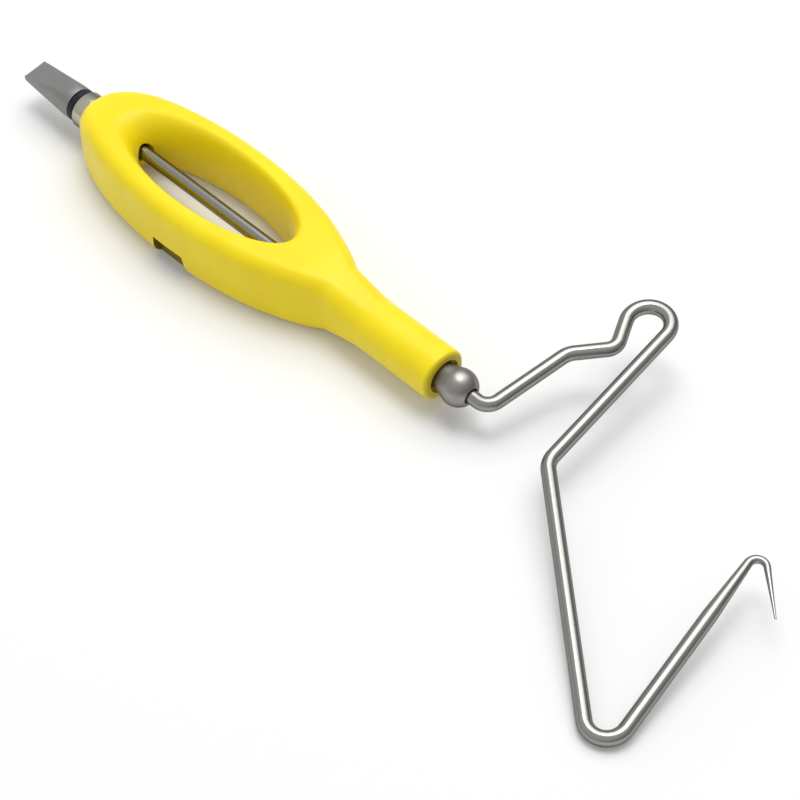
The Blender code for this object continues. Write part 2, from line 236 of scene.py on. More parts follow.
def cut(piece: bpy.types.Object, cutter: bpy.types.Object) -> None:
    """Cut another solid out of a piece; the cutter is used up.

    Args:
        piece: The solid to cut.
        cutter: The solid to cut it with.
    """
    pick(piece)
    bpy.ops.object.modifier_add(type="BOOLEAN")
    tool = piece.modifiers[-1]
    tool.object = cutter
    tool.operation = "DIFFERENCE"
    tool.solver = "EXACT"
    bpy.ops.object.modifier_apply(modifier=tool.name)
    bpy.data.objects.remove(cutter, do_unlink=True)


def smooth(piece: bpy.types.Object, angle: float = 35.0) -> None:
    """Shade a piece smooth across its soft edges, led by its large faces.

    Args:
        piece: The piece to shade.
        angle: Edges sharper than this, in degrees, stay sharp.
    """
    pick(piece)
    bpy.ops.object.shade_smooth_by_angle(angle=math.radians(angle))
    bpy.ops.object.modifier_add(type="WEIGHTED_NORMAL")
    tool = piece.modifiers[-1]
    tool.keep_sharp = True
    bpy.ops.object.modifier_apply(modifier=tool.name)


def spin_about_axis(angle: float) -> Matrix:
    """Matrix of a turn about the spin axis, in radians."""
    lift = Matrix.Translation((0.0, 0.0, AXIS_HEIGHT))
    return lift @ Matrix.Rotation(angle, 4, "X") @ lift.inverted()


def opaque(colour: Colour) -> tuple[float, float, float, float]:
    """A colour with nothing see-through about it."""
    return (*colour, 1.0)


class Wiring:
    """A node tree with short ways to add nodes and to join them."""

    def __init__(self, tree: bpy.types.NodeTree) -> None:
        """Work on one node tree."""
        self.tree = tree

    def add(self, kind: str, **settings: object) -> bpy.types.Node:
        """Add a node.

        Args:
            kind: Type of the node.
            settings: Properties of the node to set.

        Returns:
            The new node.
        """
        node = self.tree.nodes.new(kind)
        for name, value in settings.items():
            setattr(node, name, value)
        return node

    def give(self, socket: bpy.types.NodeSocket, source: Source) -> None:
        """Link a source to an input, or set it there if it is a plain value.

        Args:
            socket: The input.
            source: An output of another node, or a value.
        """
        if isinstance(source, bpy.types.NodeSocket):
            self.tree.links.new(source, socket)
        else:
            socket.default_value = source

    def feed(self, node: bpy.types.Node, **sources: Source) -> bpy.types.Node:
        """Fill inputs of a node, named in lower case with underscores; the first one of a name counts.

        Args:
            node: The node to feed.
            sources: A socket to link, or a plain value to set, for each input.

        Returns:
            The same node.
        """
        usable = [socket for socket in reversed(node.inputs) if socket.enabled]
        inputs = {socket.name.lower().replace(" ", "_"): socket for socket in usable}
        for name, source in sources.items():
            self.give(inputs[name], source)
        return node

    def noise(self, vector: Source, scale: Source, detail: float) -> bpy.types.NodeSocket:
        """A soft noise between 0 and 1, with so many waves in a metre and so many finer layers."""
        node = self.feed(self.add("ShaderNodeTexNoise"), vector=vector, scale=scale, detail=detail)
        return node.outputs["Fac"]

    def math(self, operation: str, first: Source, second: Source) -> bpy.types.NodeSocket:
        """Join two values by arithmetic.

        Args:
            operation: Blender's name of the operation.
            first: First value.
            second: Second value.

        Returns:
            The result.
        """
        node = self.add("ShaderNodeMath", operation=operation)
        for socket, source in zip(node.inputs, (first, second)):
            self.give(socket, source)
        return node.outputs["Value"]

    def dot(self, first: Source, second: Source) -> bpy.types.NodeSocket:
        """How far two directions agree.

        Args:
            first: First direction.
            second: Second direction.

        Returns:
            Their dot product.
        """
        node = self.add("ShaderNodeVectorMath", operation="DOT_PRODUCT")
        for socket, source in zip(node.inputs, (first, second)):
            self.give(socket, source)
        return node.outputs["Value"]

    def spread(
        self, value: Source, span: Point, to_low: Source = 0.0, to_high: Source = 1.0
    ) -> bpy.types.NodeSocket:
        """Stretch a value from one range to another, with soft ends.

        Args:
            value: The value.
            span: Where it starts to change and where it stops.
            to_low: Result at the start.
            to_high: Result at the stop.

        Returns:
            The stretched value.
        """
        node = self.add("ShaderNodeMapRange", interpolation_type="SMOOTHSTEP")
        self.feed(node, value=value, from_min=span[0], from_max=span[1], to_min=to_low, to_max=to_high)
        return node.outputs["Result"]

    def blend(self, share: Source, first: Source, second: Source) -> bpy.types.NodeSocket:
        """Blend two colours.

        Args:
            share: How much of the second colour.
            first: First colour.
            second: Second colour.

        Returns:
            The blended colour.
        """
        node = self.add("ShaderNodeMix", data_type="RGBA")
        sockets = {socket.identifier: socket for socket in (*node.inputs, *node.outputs)}
        for name, source in zip(("Factor_Float", "A_Color", "B_Color"), (share, first, second)):
            self.give(sockets[name], source)
        return sockets["Result_Color"]


class Effects:
    """Surface effects that several finishes share, each a node group built once."""

    MOTTLE_SPAN = (0.32, 0.68)
    GLOSS_SPAN = (0.36, 0.64)
    PATCH_SHARE = 0.7
    SPECK_FINENESS = 14.0
    RIPPLE_FINENESS = 0.12
    EDGE_SPAN = (0.99, 0.86)
    EDGE_SAMPLES = 4
    WEAR_SPAN = (0.35, 0.65)
    LEAST_WEAR = 0.25

    def __init__(self) -> None:
        """Build every group."""
        self.mottle = self.build_mottle()
        self.gloss = self.build_gloss()
        self.grain = self.build_grain()
        self.edges = self.build_edges()

    def open_group(
        self, name: str, inputs: dict[str, Kind], output: str, kind: Kind
    ) -> tuple[Wiring, dict[str, bpy.types.NodeSocket], bpy.types.NodeSocket]:
        """Start a node group.

        Args:
            name: Name of the group.
            inputs: Kind of each input by its name.
            output: Name of the one output.
            kind: Kind of the output.

        Returns:
            The group's wiring, its inputs by name, and the socket that takes its result.
        """
        tree = bpy.data.node_groups.new(name, "ShaderNodeTree")
        for label, socket in inputs.items():
            tree.interface.new_socket(label, in_out="INPUT", socket_type=socket.value)
        tree.interface.new_socket(output, in_out="OUTPUT", socket_type=kind.value)
        wiring = Wiring(tree)
        given = {socket.name: socket for socket in wiring.add("NodeGroupInput").outputs}
        return wiring, given, wiring.add("NodeGroupOutput").inputs[output]

    def build_mottle(self) -> bpy.types.NodeTree:
        """A colour that drifts slowly between two tones.

        Returns:
            The group.
        """
        inputs = {"Vector": Kind.VECTOR, "Scale": Kind.VALUE, "Deep": Kind.COLOUR, "Light": Kind.COLOUR}
        wiring, given, result = self.open_group("slow_mottle", inputs, "Colour", Kind.COLOUR)
        drift = wiring.noise(given["Vector"], given["Scale"], detail=3.0)
        share = wiring.spread(drift, self.MOTTLE_SPAN)
        wiring.give(result, wiring.blend(share, given["Deep"], given["Light"]))
        return wiring.tree

    def build_gloss(self) -> bpy.types.NodeTree:
        """Roughness with soft handled patches and fine specks.

        Returns:
            The group.
        """
        inputs = {"Vector": Kind.VECTOR, "Scale": Kind.VALUE, "Least": Kind.VALUE, "Most": Kind.VALUE}
        wiring, given, result = self.open_group("handled_gloss", inputs, "Roughness", Kind.VALUE)
        patches = wiring.noise(given["Vector"], given["Scale"], detail=4.0)
        speck_scale = wiring.math("MULTIPLY", given["Scale"], self.SPECK_FINENESS)
        specks = wiring.noise(given["Vector"], speck_scale, detail=2.0)
        both = wiring.math(
            "ADD",
            wiring.math("MULTIPLY", patches, self.PATCH_SHARE),
            wiring.math("MULTIPLY", specks, 1.0 - self.PATCH_SHARE),
        )
        wiring.give(result, wiring.spread(both, self.GLOSS_SPAN, given["Least"], given["Most"]))
        return wiring.tree

    def build_grain(self) -> bpy.types.NodeTree:
        """Height of a fine grain over a slower ripple.

        Returns:
            The group.
        """
        inputs = {"Vector": Kind.VECTOR, "Scale": Kind.VALUE, "Ripple": Kind.VALUE}
        wiring, given, result = self.open_group("fine_grain", inputs, "Height", Kind.VALUE)
        fine = wiring.noise(given["Vector"], given["Scale"], detail=2.0)
        ripple_scale = wiring.math("MULTIPLY", given["Scale"], self.RIPPLE_FINENESS)
        slow = wiring.noise(given["Vector"], ripple_scale, detail=1.0)
        ripple = wiring.math("MULTIPLY", slow, given["Ripple"])
        wiring.give(result, wiring.math("ADD", fine, ripple))
        return wiring.tree

    def build_edges(self) -> bpy.types.NodeTree:
        """Mask of the edges that hands and cloths rub bright.

        Returns:
            The group.
        """
        inputs = {"Vector": Kind.VECTOR, "Scale": Kind.VALUE, "Width": Kind.VALUE}
        wiring, given, result = self.open_group("rubbed_edges", inputs, "Amount", Kind.VALUE)
        rounded = wiring.add("ShaderNodeBevel", samples=self.EDGE_SAMPLES)
        wiring.feed(rounded, radius=given["Width"])
        flat = wiring.add("ShaderNodeNewGeometry")
        turned = wiring.spread(wiring.dot(rounded.outputs["Normal"], flat.outputs["Normal"]), self.EDGE_SPAN)
        patches = wiring.noise(given["Vector"], given["Scale"], detail=3.0)
        broken = wiring.spread(patches, self.WEAR_SPAN, to_low=self.LEAST_WEAR)
        wiring.give(result, wiring.math("MULTIPLY", turned, broken))
        return wiring.tree


@dataclass(frozen=True)
class Finish:
    """A worked surface: two tones, a range of gloss and a fine grain."""

    slot: Slot
    deep: Colour
    light: Colour
    rubbed: Colour
    metallic: float
    least_rough: float
    most_rough: float
    mottle_scale: float = 90.0
    gloss_scale: float = 160.0
    grain_scale: float = 4000.0
    ripple: float = 0.0
    grain_depth: float = 2e-6
    grain_strength: float = 0.3
    edge_scale: float = 900.0
    edge_width: float = 0.00015
    edge_share: float = 0.5
    edge_tint: float = 1.0
    specular: float = 0.5
    coat: float = 0.0
    coat_roughness: float = 0.1
    coat_ior: float = 1.5
    # A coat tint below white darkens what turns away: painted dark edges in place of dark reflections
    coat_tint: Colour = (1.0, 1.0, 1.0)
    stretch: Place = (1.0, 1.0, 1.0)
    attribute: str = ""
    # Colour of painted shade, and the corner attribute that says how much of it to blend in
    bare: Colour = (0.0, 0.0, 0.0)
    bare_attribute: str = ""

    def build(self, effects: Effects) -> bpy.types.Material:
        """Make the material.

        Args:
            effects: The shared node groups.

        Returns:
            The material, named after its slot.
        """
        material = bpy.data.materials.new(self.slot.value + "_worked")
        material.use_nodes = True
        wiring = Wiring(material.node_tree)
        place = self.place(wiring)
        mapping = wiring.feed(wiring.add("ShaderNodeMapping"), vector=place, scale=self.stretch)
        streaks = mapping.outputs["Vector"]
        gloss = self.group(wiring, effects.gloss)
        wiring.feed(
            gloss,
            vector=streaks,
            scale=self.gloss_scale,
            least=self.least_rough,
            most=self.most_rough,
        )
        grain = self.group(wiring, effects.grain)
        wiring.feed(grain, vector=streaks, scale=self.grain_scale, ripple=self.ripple)
        bump = wiring.feed(
            wiring.add("ShaderNodeBump"),
            strength=self.grain_strength,
            distance=self.grain_depth,
            height=grain.outputs["Height"],
        )
        wiring.feed(
            wiring.tree.nodes["Principled BSDF"],
            base_color=self.colour(wiring, effects, place, streaks),
            metallic=self.metallic,
            roughness=gloss.outputs["Roughness"],
            normal=bump.outputs["Normal"],
            coat_weight=self.coat,
            coat_roughness=self.coat_roughness,
            coat_ior=self.coat_ior,
            coat_tint=opaque(self.coat_tint),
            specular_ior_level=self.specular,
            specular_tint=opaque((self.edge_tint, self.edge_tint, self.edge_tint)),
        )
        return material

    def colour(
        self, wiring: Wiring, effects: Effects, place: Source, streaks: Source
    ) -> bpy.types.NodeSocket:
        """Colour of the surface: its two tones, its rubbed edges, and painted shade where an attribute marks
        it.

        Args:
            wiring: Tree of the material.
            effects: The shared node groups.
            place: Coordinates on the piece.
            streaks: The same, stretched along the streaks.

        Returns:
            The colour.
        """
        tones = self.group(wiring, effects.mottle)
        wiring.feed(
            tones,
            vector=streaks,
            scale=self.mottle_scale,
            deep=opaque(self.deep),
            light=opaque(self.light),
        )
        edges = self.group(wiring, effects.edges)
        wiring.feed(edges, vector=place, scale=self.edge_scale, width=self.edge_width)
        wear_and_shade = wiring.math("MULTIPLY", edges.outputs["Amount"], self.edge_share)
        colour = wiring.blend(wear_and_shade, tones.outputs["Colour"], opaque(self.rubbed))
        # Painted shade: blend in a dark colour as far as the attribute marks it
        if self.bare_attribute:
            inside = wiring.add("ShaderNodeAttribute", attribute_name=self.bare_attribute)
            colour = wiring.blend(inside.outputs["Fac"], colour, opaque(self.bare))
        return colour

    def place(self, wiring: Wiring) -> bpy.types.NodeSocket:
        """Coordinates that the pattern lies in.

        Args:
            wiring: Tree of the material.

        Returns:
            The piece's own coordinates, or those of its straightened wire.
        """
        if self.attribute:
            return wiring.add("ShaderNodeAttribute", attribute_name=self.attribute).outputs["Vector"]
        return wiring.add("ShaderNodeTexCoord").outputs["Object"]

    def group(self, wiring: Wiring, tree: bpy.types.NodeTree) -> bpy.types.Node:
        """Place a shared effect in the material."""
        return wiring.add("ShaderNodeGroup", node_tree=tree)


COAT = Finish(
    slot=Slot.COAT,
    deep=(0.89, 0.69, 0.003),
    light=(0.93, 0.74, 0.006),
    rubbed=(0.95, 0.79, 0.02),
    metallic=0.0,
    least_rough=0.34,
    most_rough=0.46,
    mottle_scale=120.0,
    gloss_scale=220.0,
    grain_scale=2600.0,
    ripple=3.0,
    grain_depth=6e-6,
    grain_strength=0.35,
    edge_width=0.0004,
    edge_share=0.35,
    specular=0.3,
    coat=0.06,
    coat_roughness=0.22,
    # Dark brown painted as shade into the notch, onto the nose face and into its recess
    bare=(0.20, 0.135, 0.003),
    bare_attribute=PAINTED_SHADE_SHARE,
)
SATIN = Finish(
    slot=Slot.SATIN,
    deep=(0.36, 0.343, 0.33),
    light=(0.414, 0.394, 0.378),
    rubbed=(0.50, 0.482, 0.466),
    metallic=1.0,
    least_rough=0.34,
    most_rough=0.44,
    grain_scale=900.0,
    grain_strength=0.35,
    edge_tint=0.5,
    stretch=(14.0, 1.0, 1.0),
    coat=1.0,
    coat_roughness=0.35,
    # Grey coat tint: painted dark edges round the ball in place of dark reflections
    coat_ior=PAINTED_EDGE_SHADE_IOR,
    coat_tint=(0.86, 0.86, 0.86),
)
BRIGHT = Finish(
    slot=Slot.BRIGHT,
    deep=(0.90, 0.90, 0.93),
    light=(0.95, 0.95, 0.97),
    rubbed=(0.97, 0.97, 0.97),
    metallic=1.0,
    least_rough=0.10,
    most_rough=0.20,
    grain_scale=900.0,
    grain_strength=0.2,
    edge_tint=0.6,
    stretch=(14.0, 1.0, 1.0),
    coat=1.0,
    coat_roughness=0.15,
    # Olive coat tint: painted dark olive edges on the collar, standing in for reflected shade and the
    # reflected yellow handle
    coat_ior=PAINTED_EDGE_SHADE_IOR,
    coat_tint=(0.64, 0.61, 0.52),
)
WASHER = Finish(
    slot=Slot.WASHER,
    deep=(0.008, 0.007, 0.015),
    light=(0.017, 0.014, 0.034),
    rubbed=(0.05, 0.044, 0.085),
    metallic=0.0,
    least_rough=0.42,
    most_rough=0.58,
    grain_scale=6000.0,
    specular=0.3,
)
WIRE = Finish(
    slot=Slot.WIRE,
    deep=(0.450, 0.446, 0.432),
    light=(0.540, 0.534, 0.517),
    rubbed=(0.66, 0.653, 0.635),
    metallic=1.0,
    least_rough=0.17,
    most_rough=0.29,
    mottle_scale=3.0,
    gloss_scale=5.0,
    grain_scale=11.0,
    grain_strength=0.4,
    edge_share=0.0,
    edge_tint=0.5,
    stretch=(1.0, 1.0, 40.0),
    attribute=DRAWN,
    coat=1.0,
    coat_roughness=0.22,
    # Grey coat tint: painted dark edges along the wire in place of dark reflections
    coat_ior=PAINTED_EDGE_SHADE_IOR,
    coat_tint=(0.700, 0.698, 0.682),
)
MATTE = Finish(
    slot=Slot.MATTE,
    deep=(0.295, 0.295, 0.285),
    light=(0.340, 0.338, 0.326),
    rubbed=(0.50, 0.495, 0.485),
    metallic=1.0,
    least_rough=0.50,
    most_rough=0.62,
    grain_scale=7000.0,
    grain_depth=6e-6,
    grain_strength=0.5,
    edge_tint=0.8,
)


class Assembly:
    """One piece of the tool, and the node of the frame that it stands for."""

    name: str
    node: str
    body: Body
    finish: Finish

    def build(self) -> bpy.types.Object:
        """Model the piece; each sub-assembly has its own way."""
        raise NotImplementedError

    def dress(self, piece: bpy.types.Object, effects: Effects) -> None:
        """Give the piece its finish and set it on its body.

        Args:
            piece: The modelled piece.
            effects: The shared node groups.
        """
        piece.data.materials.clear()
        piece.data.materials.append(self.finish.build(effects))
        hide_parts(self.node)
        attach(piece, self.body.value)


@dataclass
class Handle(Assembly):
    """The cast handle: an oval loop round a finger window, drawn in to a rounded neck."""

    name: str = "coated_handle"
    node: str = "handle"
    body: Body = Body.HANDLE
    finish: Finish = COAT
    window_length: float = 0.0300
    window_width: float = 0.0106
    front_flare: float = 0.0020
    rear_flare: float = 0.0043
    side_flare: float = 0.0014
    steepest_flare: float = 84.0
    loop_centre: float = -0.0197
    loop_half_length: float = 0.0262
    loop_half_width: float = 0.0093
    loop_edge: float = 0.0022
    tail_radius: float = 0.0031
    tail_fillet: float = 0.0005
    shoulder_start: float = 0.0021
    shoulder_length: float = 0.0120
    shoulder_blend: float = 0.0032
    neck_half_width: float = 0.00355
    neck_edge: float = 0.0032
    nose_fillet: float = 0.0006
    nose_recess: Barrel = Barrel(radius=0.0025, length=0.0008)
    # How much painted shade darkens the nose face and its rounded edge, and the recess round the bush
    nose_painted_shade: float = 0.4
    recess_painted_shade: float = 0.1
    notch_length: float = 0.0070
    notch_ramp: float = 0.0012
    notch_height: float = 0.0035
    notch_depth: float = 0.0013
    notch_ahead: float = 0.0012
    sharp_angle: float = 40.0
    corner_share: float = 2.5
    sides: int = 128
    loop_stations: int = 84
    shoulder_stations: int = 30
    window_sides: int = 160
    rim_steps: int = 18

    def build(self) -> bpy.types.Object:
        """Loft the body, then cut its window, notch, bores and recess.

        Returns:
            The handle.
        """
        handle = self.loft()
        cut(handle, self.window_plug())
        cut(handle, self.notch_block())
        cut(handle, self.bore("nose_bore", NOSE_FACE, 1, NOSE_SLEEVE))
        cut(handle, self.bore("tail_bore", TAIL_FACE, -1, TAIL_SLEEVE))
        cut(handle, self.recess())
        with edit_mode(handle):
            close_skin()
        # Paint shade into the notch, onto the nose face and into its recess
        self.mark_bare(handle)
        smooth(handle, self.sharp_angle)
        return handle

    def stations(self) -> list[float]:
        """Places on the axis of the body's sections, close together at both ends.

        Returns:
            The places from the tail face to the nose face.
        """
        quarter = [math.pi / 2 * i / FILLET_STEPS for i in range(FILLET_STEPS)]
        places = [TAIL_FACE + self.tail_fillet * (1 - math.cos(a)) for a in quarter]
        first = math.acos((self.loop_centre - TAIL_FACE - self.tail_fillet) / self.loop_half_length)
        last = math.acos((self.loop_centre - self.shoulder_start) / self.loop_half_length)
        for i in range(self.loop_stations + 1):
            angle = first + (last - first) * i / self.loop_stations
            places.append(self.loop_centre - self.loop_half_length * math.cos(angle))
        for i in range(1, self.shoulder_stations + 1):
            places.append(self.shoulder_start + self.shoulder_length * i / self.shoulder_stations)
        for angle in (math.pi / 2, *reversed(quarter)):
            places.append(NOSE_FACE - self.nose_fillet * (1 - math.cos(angle)))
        return places

    def section(self, x: float) -> tuple[float, float, float]:
        """Size of the section at one place on the axis.

        Args:
            x: The place.

        Returns:
            Half width, half height and corner radius.
        """
        along = min(abs(x - self.loop_centre) / self.loop_half_length, 1.0)
        half_width = self.loop_half_width * math.sqrt(1 - along * along)
        if x > self.loop_centre:
            # The loop's outline runs into the neck's along a soft blend
            beside = abs(half_width - self.neck_half_width)
            near = max(self.shoulder_blend - beside, 0.0) / self.shoulder_blend
            half_width = max(half_width, self.neck_half_width) + near * near * self.shoulder_blend / 4
        share = min(max((x - self.shoulder_start) / self.shoulder_length, 0.0), 1.0)
        neck = share * share * (3 - 2 * share)
        taper_start = WINDOW_CENTRE - self.window_length / 2 - self.rear_flare / 2
        share = min(max((taper_start - x) / (taper_start - TAIL_FACE), 0.0), 1.0)
        tail = 1 - math.sqrt(1 - share * share)
        half_height = AXIS_HEIGHT
        half_height += (self.neck_half_width - AXIS_HEIGHT) * neck + (self.tail_radius - AXIS_HEIGHT) * tail
        corner = self.loop_edge
        corner += (self.neck_edge - self.loop_edge) * neck + (self.tail_radius - self.loop_edge) * tail
        corner = min(corner, half_width, half_height)
        at_tail = self.inset(x - TAIL_FACE, self.tail_fillet)
        inset = max(at_tail, self.inset(NOSE_FACE - x, self.nose_fillet))
        return half_width - inset, half_height - inset, corner - inset

    def inset(self, depth: float, fillet: float) -> float:
        """How far an end rounded by a fillet has drawn in at a depth below its face."""
        left = max(fillet - max(depth, 0.0), 0.0)
        return fillet - math.sqrt(fillet * fillet - left * left)

    def on_section(self, x: float, share: float) -> Vector:
        """A point on the outside of the body.

        Args:
            x: Place on the axis.
            share: Way round the section, from 0 to 4 in quarters, from the +Y side over the top.

        Returns:
            The point.
        """
        half_width, half_height, corner = self.section(x)
        quarter, part = int(share) % 4, share % 1.0
        part = 1.0 - part if quarter % 2 else part
        side, top = half_height - corner, half_width - corner
        bend = corner * math.pi / 2 * self.corner_share
        way = part * (side + bend + top)
        if way <= side:
            y, z = half_width, way
        elif way < side + bend:
            angle = (way - side) / bend * math.pi / 2
            y, z = top + corner * math.cos(angle), side + corner * math.sin(angle)
        else:
            y, z = side + bend + top - way, half_height
        y = -y if quarter in (1, 2) else y
        z = -z if quarter in (2, 3) else z
        return Vector((x, y, AXIS_HEIGHT + z))

    def loft(self) -> bpy.types.Object:
        """Shape a cylinder, subdivided along its length, to the body's sections.

        Returns:
            The solid body.
        """
        places = self.stations()
        length = len(places) - 1
        bpy.ops.mesh.primitive_cylinder_add(
            vertices=self.sides,
            radius=1.0,
            depth=length,
            location=(length / 2, 0.0, 0.0),
            rotation=(0.0, math.pi / 2, 0.0),
        )
        body = bpy.context.object
        body.name = self.name
        bpy.ops.object.transform_apply(location=True, rotation=True, scale=True)
        with edit_mode(body):
            bpy.ops.mesh.select_mode(type="EDGE")
            bpy.ops.mesh.select_all(action="DESELECT")
        for edge in body.data.edges:
            near, far = (body.data.vertices[i].co.x for i in edge.vertices)
            edge.select = abs(far - near) > length / 2
        with edit_mode(body):
            bpy.ops.mesh.subdivide(number_cuts=length - 1)
        for vertex in body.data.vertices:
            turned = math.atan2(vertex.co.z, vertex.co.y) % (2 * math.pi)
            vertex.co = self.on_section(places[round(vertex.co.x)], turned / (math.pi / 2))
        with edit_mode(body):
            close_skin()
        return body

    def window_oval(self, share: float) -> tuple[float, float, float]:
        """Size of the window at one level.

        Args:
            share: How much of the flare it has, 0 at the waist.

        Returns:
            Half length, half width and the place of its middle on the axis.
        """
        front = WINDOW_CENTRE + self.window_length / 2 + self.front_flare * share
        rear = WINDOW_CENTRE - self.window_length / 2 - self.rear_flare * share
        return (front - rear) / 2, self.window_width / 2 + self.side_flare * share, (front + rear) / 2

    def window_plug(self) -> bpy.types.Object:
        """The oval plug with a waist that cuts the window and rounds the rails over.

        Returns:
            The cutter.
        """
        steepest = math.radians(self.steepest_flare)
        angles = [steepest * i / self.rim_steps for i in range(self.rim_steps + 1)]
        levels = [(AXIS_HEIGHT * math.sin(a), 1 - math.cos(a)) for a in angles]
        height, share = levels[-1]
        top = AXIS_HEIGHT + OVERSHOOT
        levels.append((top, share + (top - height) * math.tan(steepest) / AXIS_HEIGHT))
        levels = [(-height, share) for height, share in reversed(levels[1:])] + levels
        height, share = levels[0]
        length, width, middle = self.window_oval(share)
        bpy.ops.mesh.primitive_circle_add(vertices=self.window_sides, radius=1.0, fill_type="NGON")
        plug = bpy.context.object
        with edit_mode(plug):
            bpy.ops.mesh.select_all(action="SELECT")
            bpy.ops.transform.resize(value=(length, width, 1.0))
            bpy.ops.transform.translate(value=(middle, 0.0, AXIS_HEIGHT + height))
            for next_height, share in levels[1:]:
                next_length, next_width, next_middle = self.window_oval(share)
                step = (next_middle - middle, 0.0, next_height - height)
                bpy.ops.mesh.extrude_region_move(TRANSFORM_OT_translate={"value": step})
                wider = (next_length / length, next_width / width, 1.0)
                place = (next_middle, 0.0, AXIS_HEIGHT + next_height)
                bpy.ops.transform.resize(value=wider, center_override=place)
                length, width, middle, height = next_length, next_width, next_middle, next_height
            close_skin()
        return plug

    def notch_block(self) -> bpy.types.Object:
        """The block that cuts the ramped relief into the lower edge of one rail.

        Returns:
            The cutter.
        """
        middle = WINDOW_CENTRE + self.notch_ahead
        depth = self.notch_depth + OVERSHOOT
        height = self.notch_height + OVERSHOOT
        wall = -self.loop_half_width + self.notch_depth
        place = (middle, wall - depth / 2, self.notch_height - height / 2)
        bpy.ops.mesh.primitive_cube_add(size=1.0)
        block = bpy.context.object
        with edit_mode(block):
            bpy.ops.mesh.select_all(action="SELECT")
            bpy.ops.transform.resize(value=(self.notch_length, depth, height))
            bpy.ops.transform.translate(value=place)
            bpy.ops.mesh.select_mode(type="VERT")
            bpy.ops.mesh.select_all(action="DESELECT")
        for vertex in block.data.vertices:
            vertex.select = vertex.co.x > middle and vertex.co.z > place[2]
        with edit_mode(block):
            bpy.ops.transform.translate(value=(-self.notch_ramp, 0.0, 0.0))
        return block

    def bore(self, name: str, face: float, outward: int, sleeve: Barrel) -> bpy.types.Object:
        """A stepped bore from one end face: a seat for a bush, then a channel into the window.

        Args:
            name: Name of the cutter.
            face: Place of the end face.
            outward: 1 at the nose, -1 at the tail.
            sleeve: The bush's sleeve.

        Returns:
            The cutter.
        """
        mouth = face + outward * OVERSHOOT
        step = face - outward * (sleeve.length + SEAT_GAP)
        seat = sleeve.radius + SEAT_GAP
        profile = [
            (WINDOW_CENTRE, 0.0),
            (WINDOW_CENTRE, CHANNEL_RADIUS),
            (step, CHANNEL_RADIUS),
            (step, seat),
            (mouth, seat),
            (mouth, 0.0),
        ]
        return turn(name, profile)

    def recess(self) -> bpy.types.Object:
        """The shallow round cutter that opens the nose face round the stem of the bush.

        Returns:
            The cutter.
        """
        radius = self.nose_recess.radius
        bottom, mouth = NOSE_FACE - self.nose_recess.length, NOSE_FACE + OVERSHOOT
        return turn("nose_recess", [(bottom, 0.0), (bottom, radius), (mouth, radius), (mouth, 0.0)])

    def mark_bare(self, handle: bpy.types.Object) -> None:
        """Mark where shade is painted on the coat: fully inside the notch, in part on the nose face and its
        rounded edge, and a little in the recess.

        Args:
            handle: The cut handle.
        """
        mesh = handle.data
        marks = mesh.attributes.new(PAINTED_SHADE_SHARE, "FLOAT", "CORNER")
        for face in mesh.polygons:
            in_notch, in_recess = self.in_notch(face.center), self.in_recess(face.center)
            for corner in face.loop_indices:
                x = mesh.vertices[mesh.loops[corner].vertex_index].co.x
                # Painted shade grows over the nose's rounded edge up to its share on the face
                rounded = max(1.0 - (NOSE_FACE - x) / self.nose_fillet, 0.0)
                wear_and_shade = self.recess_painted_shade if in_recess else self.nose_painted_shade * rounded
                marks.data[corner].value = 1.0 if in_notch else wear_and_shade

    def in_notch(self, place: Vector) -> bool:
        """Whether a place lies in the notch or on its walls.

        Args:
            place: The place.

        Returns:
            True if it does.
        """
        along = place.x - WINDOW_CENTRE - self.notch_ahead
        front = self.notch_length / 2 - self.notch_ramp * place.z / self.notch_height
        wall = -self.loop_half_width + self.notch_depth
        reach = -self.notch_length / 2 - MERGE_DISTANCE < along < front + MERGE_DISTANCE
        return reach and place.y < wall + MERGE_DISTANCE and place.z < self.notch_height + MERGE_DISTANCE

    def in_recess(self, place: Vector) -> bool:
        """Whether a place lies in the nose recess or on its walls.

        Args:
            place: The place.

        Returns:
            True if it does.
        """
        bottom = NOSE_FACE - self.nose_recess.length
        inside = bottom - MERGE_DISTANCE < place.x < NOSE_FACE - MERGE_DISTANCE
        off_axis = math.hypot(place.y, place.z - AXIS_HEIGHT)
        return inside and off_axis < self.nose_recess.radius + MERGE_DISTANCE


@dataclass
class NoseBush(Assembly):
    """The ball-nosed bush that carries the wire at the front."""

    name: str = "ball_nosed_bush"
    node: str = "nose_bush"
    body: Body = Body.HANDLE
    finish: Finish = SATIN
    sleeve: Barrel = NOSE_SLEEVE
    ball_radius: float = 0.00265
    ball_ahead: float = 0.00264
    lip: float = 0.00025
    ball_steps: int = 40

    def build(self) -> bpy.types.Object:
        """Turn the ball and its sleeve in one.

        Returns:
            The bush.
        """
        stem = self.sleeve.radius
        sleeve_end = NOSE_FACE - self.sleeve.length
        centre = NOSE_FACE + self.ball_ahead
        mouth = BORE_RADIUS + self.lip
        front = centre + math.sqrt(self.ball_radius**2 - mouth**2)
        tangent = math.acos(self.ball_radius / math.hypot(self.ball_ahead, stem))
        base_angle = math.pi - math.atan2(stem, self.ball_ahead) - tangent
        mouth_angle = math.asin(mouth / self.ball_radius)
        profile = [(sleeve_end, BORE_RADIUS), (sleeve_end, stem), (NOSE_FACE, stem)]
        profile += arc((centre, 0.0), self.ball_radius, base_angle, mouth_angle, self.ball_steps)
        profile += arc((front - self.lip, mouth), self.lip, 0.0, -math.pi / 2, FILLET_STEPS)[1:]
        bush = turn(self.name, profile)
        smooth(bush)
        return bush


